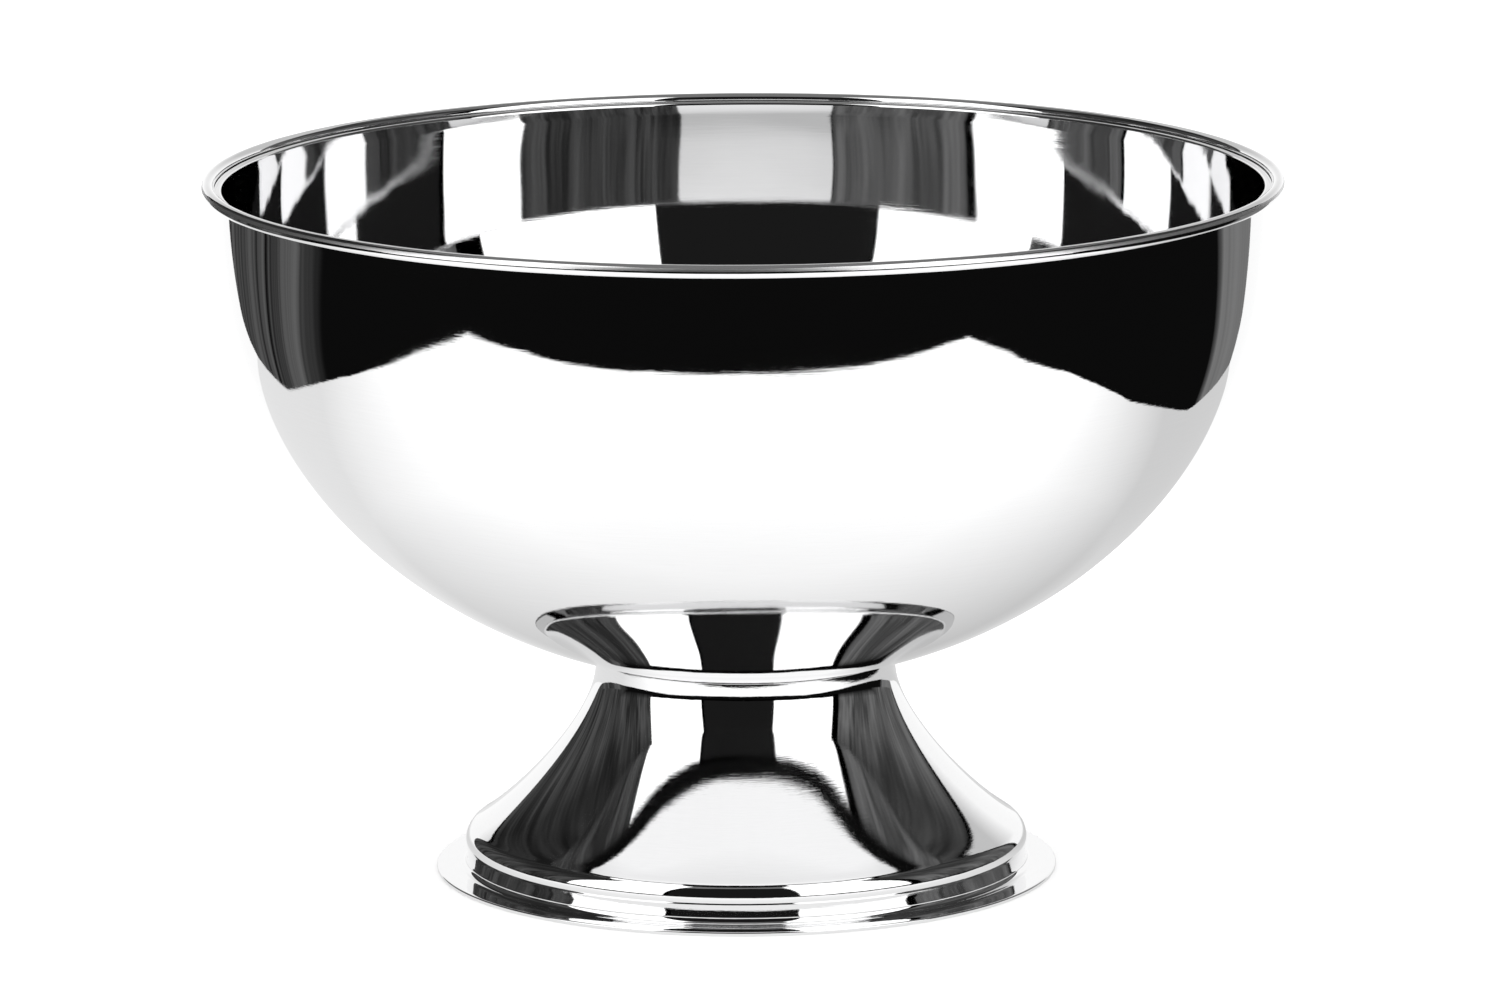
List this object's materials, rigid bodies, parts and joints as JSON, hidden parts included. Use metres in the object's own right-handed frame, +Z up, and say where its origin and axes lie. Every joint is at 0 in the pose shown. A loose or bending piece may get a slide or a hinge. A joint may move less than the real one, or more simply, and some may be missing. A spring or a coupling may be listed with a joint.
{
  "type": "punch bowl",
  "caption": "Footed punch bowl in mirror-polished stainless steel: a deep round bowl with a rolled rim, bolted to a hollow bell-shaped foot with a flat base flange.",
  "frame": {"origin": "on the bowl's upright axis, in the plane that the foot stands on", "axes": "+Z up along the axis of revolution; X and Y are equal, as the bowl is round"},
  "size_m": [0.38, 0.38, 0.2484],
  "materials": {
    "bowl_steel": "mirror polished stainless steel with fine turning lines round the axis",
    "foot_steel": "mirror polished spun stainless steel",
    "fastener_steel": "plain satin stainless steel"
  },
  "bodies": {
    "root": {"bowl": "bowl_steel", "foot": "foot_steel", "weld_stud": "fastener_steel", "clamp_washer": "fastener_steel", "spring_washer": "fastener_steel", "hex_nut": "fastener_steel"}
  },
  "joints": []
}
